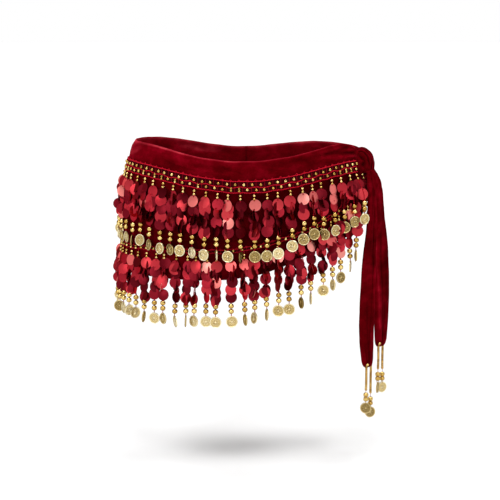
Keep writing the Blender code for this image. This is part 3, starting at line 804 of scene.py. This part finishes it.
class Fringe:
    """One sector of a tier: its sequins, its gold beads, its coins and its threads."""

    def __init__(self, seed):
        self.rng = np.random.default_rng(seed)
        self.sequins, self.beads, self.coins, self.threads = Batch(), Batch(), Batch(), Batch()
        self.cups = [sequin_template(cup) for cup in (0.2, 0.5, 0.85, -0.45)]
        self.struck = [coin_template(pattern) for pattern in range(6)]
        self.small = sphere(TRIM_BEAD_RADIUS, 12, 8, 0.9)
        self.large = sphere(BIG_BEAD_RADIUS, 16, 10, 0.92)
        self.knot = sphere(1.2 * MM, 8, 5)
        self.loop = sphere(1.0 * MM, 6, 4)

    def bead(self, template, centre, out, tone):
        points, faces = template
        # Painted light: lighter on top, where light falls from above, and darker below.
        tone = np.clip(tone + 0.30 * points[:, 2] / points[:, 2].max(), 0, 1)
        self.beads.add(placed(points, centre, np.cross(UP, out), out, UP), faces, tone)

    def hanging(self, batch, template, hole, out, yaw, pitch, swing, reach, tone):
        """A disc that hangs from its hole, at this reach from its centre. The yaw turns it, the pitch swings
        its lower edge out and the swing tips it sideways. A template's own tones are added."""
        points, faces = template[:2]
        if len(template) > 2:
            tone = np.clip((template[2] - 0.45) * 0.9 + tone, 0, 1)
        facing = out * math.cos(yaw) + np.cross(UP, out) * math.sin(yaw)
        across = np.cross(UP, facing)
        normal = facing * math.cos(pitch) + UP * math.sin(pitch)
        rise = np.cross(normal, across)
        top = rise * math.cos(swing) + across * math.sin(swing)
        batch.add(placed(points, hole - top * reach, np.cross(top, normal), top, normal), faces, tone)

    def knotted(self, at, height, turn, first, loose, swung):
        """The sequin on one knot of a strand, and on some knots a second one behind it."""
        rng = self.rng
        crowded = 0.16 + 0.50 * math.exp(-(((turn - 84) / 24) ** 2))
        wide = rng.random() < (0.55 if loose else 0.08 if first else crowded)
        yaw = rng.choice((-1, 1)) * rng.uniform(0.75, 1.45 if loose else 1.2) if wide else rng.normal(0, 0.26)
        # Some on the far hip have turned to the front, and so have those of a strand that is swung out.
        yaw += 0.55 * np.clip((turn - 145) / 30, 0, 1) * (turn < 215) - (1.05 * swung if not wide else 0)
        pitch = rng.normal(0.20, 0.05) + (0.08 if first else 0.0)
        swing = rng.normal(0, 0.13)
        hanging_free = loose or swung > 0.5
        push = 0.0 if hanging_free else max(0.0, SEQUIN_RADIUS * abs(math.sin(yaw)) * 0.60 - 1.5 * MM)
        hole, out = at(height, push + 0.6 * MM)
        cup = self.cups[rng.integers(len(self.cups))]
        kind = "swung" if swung > 0.5 else "top" if first else "loose" if loose else "plain"
        # A dark, a plain or a glinting tone: the dark and the glinting ones are painted reflection.
        tones = (rng.uniform(0.0, 0.42), rng.uniform(0.42, 0.8), rng.uniform(0.86, 1.0))
        tone = rng.choice(tones, p=SEQUIN_TONES[kind])
        self.hanging(self.sequins, cup, hole, out, yaw, pitch, swing, SEQUIN_HOLE, tone)
        if rng.random() < DOUBLED_SEQUINS and swung < 0.5:
            behind, out = at(height - 0.4 * SEQUIN_PITCH, push)
            yaw += rng.choice((-1, 1)) * rng.uniform(0.4, 1.0)
            swing += rng.normal(0, 0.2)
            tone = rng.uniform(0.1, 0.75)
            self.hanging(self.sequins, cup, behind, out, yaw, 0.6 * pitch, swing, SEQUIN_HOLE, tone)
        points, faces = self.loop
        self.threads.add(points + hole + out * 0.5 * MM, faces)

    def strand(self, turn, chain_height, coin_height, flare, free_below, swung, swung_out):
        """One strand. Below free_below it has no velvet behind it. swung is from 0 to 1, for one that leans
        out over the long tail."""
        rng = self.rng
        length = chain_height - coin_height
        sway_size, sway_phase = rng.uniform(0.0, 0.5), rng.uniform(0, 6.3)

        def at(height, extra=0.0):
            share = (chain_height - height) / length
            drift = sway_size * math.sin(share * 4.0 + sway_phase) * share + SWUNG_TURN * swung * share
            leaning = swung_out * swung * min(1.0, 2.2 * share)
            return on_figure(turn + drift, height, (2.4 + flare * share) * MM + leaning + extra)

        for drop in SMALL_BEAD_DROPS:
            centre, out = at(chain_height - drop)
            self.bead(self.small, centre, out, rng.uniform(0.3, 1.0))
        upper_bead = coin_height + COIN_RADIUS + COIN_LINK + 3 * BIG_BEAD_RADIUS
        lower_bead = upper_bead - 1.9 * BIG_BEAD_RADIUS
        highest, lowest = chain_height - FIRST_SEQUIN_DROP, upper_bead + BIG_BEAD_RADIUS + LAST_SEQUIN_RISE
        count = max(int(round((highest - lowest) / SEQUIN_PITCH)) + 1, 2)
        for index, height in enumerate(np.linspace(highest, lowest, count)):
            height = height + rng.normal(0, 0.8) * MM
            self.knotted(at, height, turn, index == 0, height < free_below, swung)
        for height in (upper_bead, lower_bead):
            centre, out = at(height)
            self.bead(self.large, centre, out, rng.uniform(0.3, 1.0))
        # Knot above the beads, then the thread from end to end.
        centre, out = at(upper_bead + BIG_BEAD_RADIUS + 0.8 * MM)
        points, faces = self.knot
        self.threads.add(points + centre, faces)
        heights = np.linspace(chain_height, coin_height + COIN_HOLE - 0.2 * MM, 12)
        line = np.array([at(height)[0] for height in heights])
        self.threads.add(*tube(line, THREAD_RADIUS, 5, at(coin_height)[1]))
        wide = rng.random() < (0.60 if free_below > coin_height else 0.12)
        spread = 0.35 if turn < 140 else 0.15
        yaw = rng.choice((-1, 1)) * rng.uniform(0.8, 1.55) if wide else rng.normal(0, spread)
        yaw -= 0.8 * swung
        # A coin turned edge on hangs clear of the velvet behind it.
        clear = max(0.0, COIN_RADIUS * abs(math.sin(yaw)) - 5.0 * MM) if coin_height > free_below else 0.0
        hole, out = at(coin_height + COIN_HOLE, clear)
        struck = self.struck[rng.integers(len(self.struck))]
        pitch, swing = rng.normal(0.03, 0.06), rng.normal(0, 0.06)
        self.hanging(self.coins, struck, hole, out, yaw, pitch, swing, COIN_HOLE, rng.uniform(0.18, 0.95))

    def objects(self, name):
        return [
            self.sequins.object(f"{name}_sequins", SEQUINS),
            self.beads.object(f"{name}_beads", GOLD),
            self.coins.object(f"{name}_coins", COINS, 28.0),
            self.threads.object(f"{name}_threads", CHAIN),
        ]


def tier(row, chain_below, coins, turns, flare, sectors, seed, swing):
    """Every strand of a tier, gathered by sector: a name with its first and last turn. They start chain_below
    under the trim's first bead row, and end further out by their flare."""
    made = {}
    jitter = np.random.default_rng(seed)
    for index, (name, start, end) in enumerate(sectors):
        fringe = Fringe(seed + 10 * (index + 1))
        for turn in turns[(turns >= start) & (turns < end)]:
            turn = turn + jitter.normal(0, 0.45)
            (chain_height,) = station(row, turn) - chain_below * MM
            (coin_height,) = station(coins, turn) + jitter.normal(0, 1.3) * MM
            (velvet_edge,) = station("velvet", turn)
            free_below = velvet_edge - 4 * MM
            swung = max(0.0, 1 - abs(turn - swing[0]) / swing[1])
            fringe.strand(turn, chain_height, coin_height, flare, free_below, swung, swing[2])
        made[name] = fringe.objects(name)
    return made


# --- ties, knot and tails ---
FOLDED_COLUMNS, TAIL_ROWS, WRAP_ROWS, GATHER_ROWS, GATHER_COLUMNS = 56, 150, 60, 48, 64
FOLD_WANDER, FOLD_FADE = 0.012, 0.08  # share of the section, share of the strip's length
FOLD_TONE, FOLD_SHADE = 0.50, 3.0
TAIL_CLOSES, TAIL_TIP = 12.0, 0.52  # mm from the end, share of the width left at the end


def folded_strip(name, middles, across, outs, widths, thicks, folds):
    """Velvet folded lengthwise, on rows of middles and directions. Each fold is soft, and runs from one place
    across the face to another along a stretch of the length."""
    section = resampled(FOLDED_SECTION, FOLDED_COLUMNS)
    along = np.linspace(0, 1, len(middles))[:, None]
    face = np.linspace(0, 1, FOLDED_COLUMNS)[None, :]
    lift = np.zeros((len(middles), FOLDED_COLUMNS))
    for start, start_face, end, end_face, width, depth in folds:
        run = np.clip((along - start) / (end - start), 0, 1)
        centre = start_face + (end_face - start_face) * run + FOLD_WANDER * np.sin(along * 17 + start * 9)
        # A fold fades at both its ends, except where the strip itself ends.
        fade_in = np.clip((along - start) / FOLD_FADE + (start == 0), 0, 1)
        fade_out = np.clip((end - along) / FOLD_FADE + (end == 1), 0, 1)
        lift -= depth * fade_in * fade_out * bell(face - centre, width)
    tangent = np.gradient(section, axis=0)
    normal = unit(np.stack([tangent[:, 1], -tangent[:, 0]], 1))
    away = section - np.array([0.0, 0.5])
    normal *= np.where((normal * away).sum(1) < 0, -1.0, 1.0)[:, None]
    widths, thicks = widths[:, None], thicks[:, None]
    side = (section[:, 0] + normal[:, 0] * lift * 0.3) * widths
    rise = (section[:, 1] + normal[:, 1] * lift) * thicks
    wall = np.minimum(CLOTH, 0.22 * thicks)

    def surface(side, rise):
        return middles[:, None] + across[:, None] * side[..., None] + outs[:, None] * rise[..., None]

    inner = surface(side - normal[:, 0] * wall, rise - normal[:, 1] * wall)
    # Painted light and shade: each fold darker in its trough and lighter on its ridge.
    return shell(name, inner, surface(side, rise), VELVET, FOLD_TONE + FOLD_SHADE * lift)


def tail(name, table, folds):
    rows = np.array(table)
    heights = np.linspace(rows[0, 0], rows[-1, 0], TAIL_ROWS)
    front_x, front_y, back_x, back_y, thick = smooth(heights, rows[::-1, 0], rows[::-1, 1:]).T
    front = np.stack([front_x, front_y, heights], 1) * MM
    back = np.stack([back_x, back_y, heights], 1) * MM
    across, widths = unit(back - front), np.linalg.norm(back - front, axis=1)
    outs = np.cross(across, UP)
    # The end is drawn together into a rounded point, where the beads hang.
    rise = np.clip((heights - rows[-1, 0]) / TAIL_CLOSES, 0, 1)
    closing = TAIL_TIP + (1 - TAIL_TIP) * np.sqrt(rise * (2 - rise))
    middles = (front + back) / 2 + outs * (thick * MM * (1 - closing) * 0.4)[:, None]
    thicks = thick * MM * (0.25 + 0.75 * closing)
    return folded_strip(name, middles, across, outs, widths * closing, thicks, folds)


def knot_wrap(name, folds):
    rows = resampled(KNOT_WRAP, WRAP_ROWS)
    middles, widths, thicks, outs = rows[:, :3] * MM, rows[:, 3] * MM, rows[:, 4] * MM, rows[:, 5:]
    along = unit(np.gradient(middles, axis=0))
    outs = unit(outs - along * (outs * along).sum(1, keepdims=True))
    return folded_strip(name, middles, np.cross(outs, along), outs, widths, thicks, folds)


def gather(name, table, outward, seed):
    """Velvet that pleats as it narrows, from one flat ply to a rounded bundle."""
    rng = np.random.default_rng(seed)
    rows = resampled(table, GATHER_ROWS) * MM
    top, bottom, thick = rows[:, :3], rows[:, 3:6], rows[:, 6]
    along = unit(np.gradient((top + bottom) / 2, axis=0))
    out = np.cross(along, bottom - top)
    out = unit(out * np.sign((out * outward).sum(1, keepdims=True)))
    down = np.linspace(0, 1, GATHER_COLUMNS)[None, :]
    wander = 0.10 * np.sin(np.linspace(0, 4, GATHER_ROWS) + rng.uniform(0, 6))[:, None]
    pleat = 0.5 + 0.5 * np.cos((down + wander * down * (1 - down) * 3) * GATHER_PLEATS * 2 * math.pi)
    bulge = np.sin(math.pi * np.clip(down, 0.0, 1.0)) ** 0.6
    line = top[:, None] + (bottom - top)[:, None] * down[..., None]
    deep = np.clip((thick - 2.2 * MM) / (6 * MM), 0, 1)[:, None]
    lift = thick[:, None] * bulge * (0.72 - 0.46 * deep * (1 - pleat)) + 0.4 * MM
    outer = line + out[:, None] * lift[..., None]
    inner = line - out[:, None] * (thick[:, None] * bulge * 0.28 + 0.4 * MM)[..., None]
    # Painted shade in the pleats' troughs, deepest where the bundle is thick.
    return shell(name, inner, outer, VELVET, 0.66 - 0.55 * deep * (1 - pleat))


# --- tassels ---
STRING_BEAD_RADIUS, STRING_BEAD_PITCH = 2.05 * MM, 2.9 * MM
TASSEL_COIN_HOLE, LINK_RADIUS, WIRE_RADIUS = 6.6 * MM, 1.9 * MM, 0.4 * MM
TO_THE_FRONT = np.array([0, -1.0, 0])


def middle(node):
    low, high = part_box(node)
    return np.array((low + high) / 2)


def tassel(name, facing, seed):
    """A string of small beads down to two large ones and a coin, where the part's own nodes are."""
    rng = np.random.default_rng(seed)
    fringe = Fringe(seed)
    low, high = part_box(f"{name}_string")
    x, y = middle(f"{name}_string")[:2]
    small, faces = sphere(STRING_BEAD_RADIUS, 10, 7, 0.9)
    # Painted light: each bead lighter on top and darker below.
    painted_top_light = 0.35 * small[:, 2] / small[:, 2].max()
    heights = np.arange(high[2] + 2.0 * MM, low[2] + 0.6 * MM, -STRING_BEAD_PITCH)
    bend = rng.uniform(-0.5, 0.5, 2) * MM
    for height in heights:
        share = (high[2] - height) / (high[2] - low[2])
        centre = np.array([x, y, height]) + np.array([*bend, 0]) * math.sin(share * math.pi)
        fringe.beads.add(small + centre, faces, np.clip(rng.uniform(0.2, 0.7) + painted_top_light, 0, 1))
    if name.endswith("front_tassel"):  # one bead more is sewn on the tip of each tail
        sewn_on = np.array([x + 1.2 * MM, y - 3.0 * MM, high[2] + 4.5 * MM])
        fringe.bead(fringe.small, sewn_on, TO_THE_FRONT, 0.8)
    for bead in ("upper", "lower"):
        fringe.bead(fringe.large, middle(f"{name}_{bead}_bead"), TO_THE_FRONT, rng.uniform(0.4, 1.0))
    angle = math.radians(facing)
    out = np.array([math.cos(angle), -math.sin(angle), 0.0])
    hole = middle(f"{name}_coin") + UP * TASSEL_COIN_HOLE
    coin = fringe.struck[seed % len(fringe.struck)]
    fringe.hanging(fringe.coins, coin, hole, out, 0.0, 0.0, 0.0, TASSEL_COIN_HOLE, rng.uniform(0.3, 0.7))
    lower = middle(f"{name}_lower_bead")[2]
    around = np.linspace(0, 2 * math.pi, 13)[:, None]
    link = np.array([x, y, (lower - 3 * MM + hole[2]) / 2])
    link = link + (out * np.sin(around) + UP * np.cos(around)) * LINK_RADIUS
    fringe.beads.add(*tube(link, WIRE_RADIUS, 6, np.cross(out, UP)), tone=0.6)
    line = [(x, y, high[2] + 0.2 * MM), (x, y, (high[2] + low[2]) / 2), (x, y, lower)]
    fringe.threads.add(*tube(line, WIRE_RADIUS, 5, out))
    return [
        fringe.beads.object(f"{name}_beads", GOLD),
        fringe.coins.object(f"{name}_coin_struck", COINS, 28.0),
        fringe.threads.object(f"{name}_thread", CHAIN),
    ]


# --- the scarf ---
def ride(obj, slot, *nodes):
    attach(obj, "root")
    if nodes:
        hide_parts(*nodes)
    return obj


# Rows of beads by height, shift along the row and share of doubled beads, and the heights of the edges of the
# band of painted shade behind the trim.
UPPER_TRIM = ("upper", UPPER_CHAINS, ((0.0, 0.0, 0.0), (-6.9, 0.45, 0.35)), (4.8, -10.8))
LOWER_TRIM = ("lower", LOWER_CHAINS, ((-0.3, 0.0, 0.25),), (2.0, -2.6))
UPPER_SECTORS = (
    ("upper_fringe_front", 0, 130),
    ("upper_fringe_left", 130, 235),
    ("upper_fringe_back", 235, 360),
)
LOWER_SECTORS = (("lower_fringe_front", 0, 125), ("lower_fringe_left", 125, 360))
TRIM_GAP = 0.1  # degrees left free at each end of a trim

main = ride(velvet_panel("main_panel_velvet", PANEL_START, CENTRE_BACK, 3), "velvet", "main_panel")
back = ride(velvet_panel("back_panel_velvet", CENTRE_BACK, PANEL_END, 4), "velvet", "back_panel")

trim_pieces = {}
for name, row, chains, rows, edges, start, end, seed, tone in (
    ("upper_trim_main", *UPPER_TRIM, UPPER_TRIM_START, CENTRE_BACK, 11, 0.85),
    ("upper_trim_back", *UPPER_TRIM, CENTRE_BACK, UPPER_TRIM_END, 12, 0.85),
    # The lower trim's lower tone is painted shade under the upper fringe.
    ("lower_trim", *LOWER_TRIM, LOWER_START, LOWER_END, 13, 0.5),
):
    start, end = start + TRIM_GAP, end - TRIM_GAP
    # A dark band behind the trim, which is painted shade, then the trim itself.
    painted_shade_band = ride(shade_band_behind_trim(f"{name}_net", row, start, end, *edges), "crochet", name)
    threads, beads = crochet_trim(name, row, chains, rows, start, end, seed, tone)
    ride(threads, "crochet")
    ride(beads, "gold")
    trim_pieces[name] = (painted_shade_band, threads, beads)

upper_turns, _ = arc_turns(21.0, 343.0, STRAND_PITCH, -20 * MM)
lower_turns, _ = arc_turns(31.5, 213.0, STRAND_PITCH, -110 * MM)
upper = tier("upper", 10.6, "upper_coins", upper_turns, 4.6, UPPER_SECTORS, 100, UPPER_SWING)
lower = tier("lower", 3.6, "lower_coins", lower_turns, 1.8, LOWER_SECTORS, 200, LOWER_SWING)
for name, pieces in {**upper, **lower}.items():
    for piece, slot in zip(pieces, ("sequins", "gold", "gold", "crochet")):
        ride(piece, slot)
    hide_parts(name)

front_tie = gather("front_tie_gathered", FRONT_GATHER, (0.4, -0.9, 0.0), 21)
ride(front_tie, "velvet", "front_tie_gather")
back_tie = gather("back_tie_gathered", BACK_GATHER, (1.0, 0.0, 0.0), 22)
ride(back_tie, "velvet", "back_tie_gather")
wrap = ride(knot_wrap("knot_wrap_velvet", WRAP_FOLDS), "velvet", "knot_wrap")
long_tail = ride(tail("long_tail_velvet", LONG_TAIL, LONG_TAIL_FOLDS), "velvet", "long_tail")
short_tail = ride(tail("short_tail_velvet", SHORT_TAIL, SHORT_TAIL_FOLDS), "velvet", "short_tail")
tassels = {"long_tail": [], "short_tail": []}
for index, (name, facing) in enumerate(TASSELS):
    beads, coin, thread = tassel(name, facing, 300 + index)
    tassels[name[: name.index("_tail") + 5]] += [beads, coin, thread]
    ride(beads, "gold", f"{name}_string", f"{name}_upper_bead", f"{name}_lower_bead")
    ride(coin, "gold", f"{name}_coin")
    ride(thread, "crochet")

# Piece, flat width and length in metres, how it is held, area if it isn't a rectangle, what is sewn on it.
on_main = [*trim_pieces["upper_trim_main"], *trim_pieces["lower_trim"]]
on_main += [*upper["upper_fringe_front"], *upper["upper_fringe_left"]]
on_main += [*lower["lower_fringe_front"], *lower["lower_fringe_left"]]
on_back = [*trim_pieces["upper_trim_back"], *upper["upper_fringe_back"]]
SHEETS = (
    (main, (0.64, 0.185), "draped", 0.095, on_main),
    (back, (0.20, 0.072), "draped", None, on_back),
    (front_tie, (0.022, 0.056), "gathered", None, []),
    (back_tie, (0.050, 0.032), "gathered", None, []),
    (wrap, (0.052, 0.048), "folded", None, []),
    (long_tail, (0.278, 0.048), "hung", None, tassels["long_tail"]),
    (short_tail, (0.256, 0.060), "hung", None, tassels["short_tail"]),
)
for piece, flat, held, area, sewn_on in SHEETS:
    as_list(sewn_on)

# --- studio ---
FLOOR_HEIGHT, FLOOR_REACH = -0.420, 60.0

mesh = bpy.data.meshes.new("studio_floor")
corners = [(x * FLOOR_REACH, y * FLOOR_REACH, FLOOR_HEIGHT) for x, y in ((-1, -1), (1, -1), (1, 1), (-1, 1))]
mesh.from_pydata(corners, [], [(0, 1, 2, 3)])
pale = Shader("pale_floor").set(Base_Color=(0.82, 0.82, 0.82, 1.0), Roughness=0.9, Specular_IOR_Level=0.0)
mesh.materials.append(pale.material)
floor = new_object("studio_floor", mesh)


def softbox(name, location, target, size, watts):
    light = bpy.data.lights.new(name, "AREA")
    light.shape = "RECTANGLE"
    light.size, light.size_y = size
    light.energy = watts
    obj = new_object(name, light)
    obj.location = location
    direction = Vector(target) - Vector(location)
    obj.rotation_euler = direction.to_track_quat("-Z", "Y").to_euler()


# Wide soft lights from high up all round. Each is so steep that the wall next to it throws its shadow on the
# floor below the middle, so the hollow form has one soft shadow.
HIGH_LIGHTS = 6
HALF_WIDTH, HALF_DEPTH, WALL_ABOVE_FLOOR = 0.178, 0.125, 0.35
for index in range(HIGH_LIGHTS):
    sun = bpy.data.lights.new(f"high_{index}", "SUN")
    sun.energy, sun.angle = 0.56, math.radians(15.0)
    angle = 2 * math.pi * index / HIGH_LIGHTS
    wall = 1 / math.hypot(math.sin(angle) / HALF_WIDTH, math.cos(angle) / HALF_DEPTH)
    new_object(f"high_{index}", sun).rotation_euler = (math.atan2(wall, WALL_ABOVE_FLOOR), 0.0, angle)
softbox("left_front", (-1.25, -1.7, 0.85), (0.0, 0.0, -0.1), (0.8, 1.0), 7.0)
softbox("right_front", (1.0, -1.9, 0.55), (0.0, 0.0, -0.1), (0.6, 0.9), 4.0)


def studio_world():
    """White to a little above the horizon, then dim, so that metal has something dark to mirror."""
    world = bpy.data.worlds.new("studio")
    bpy.context.scene.world = world
    world.use_nodes = True
    nodes, links = world.node_tree.nodes, world.node_tree.links
    direction, split = nodes.new("ShaderNodeTexCoord"), nodes.new("ShaderNodeSeparateXYZ")
    ramp = nodes.new("ShaderNodeValToRGB")
    low, high = ramp.color_ramp.elements
    low.position, low.color = math.sin(math.radians(17.0)), (1.0, 1.0, 1.0, 1.0)
    high.position, high.color = math.sin(math.radians(36.0)), (0.18, 0.18, 0.18, 1.0)
    links.new(direction.outputs["Generated"], split.inputs["Vector"])
    links.new(split.outputs["Z"], ramp.inputs["Fac"])
    links.new(ramp.outputs["Color"], nodes["Background"].inputs["Color"])
    nodes["Background"].inputs["Strength"].default_value = 1.0


studio_world()

camera_data = bpy.data.cameras.new("camera")
camera_data.lens = 89.4
camera_data.sensor_width = 36.0
camera_data.clip_end = 200.0
camera = new_object("camera", camera_data)
TARGET, DISTANCE, DOWN = np.array([0.0058, 0.0, -0.128]), 1.8, math.radians(10.0)
camera.location = TARGET + DISTANCE * np.array([0.0, -math.cos(DOWN), math.sin(DOWN)])
camera.rotation_euler = (math.pi / 2 - DOWN, 0.0, 0.0)
bpy.context.scene.camera = camera
bpy.context.scene.view_settings.view_transform = "Standard"
bpy.context.scene.view_settings.look = "None"
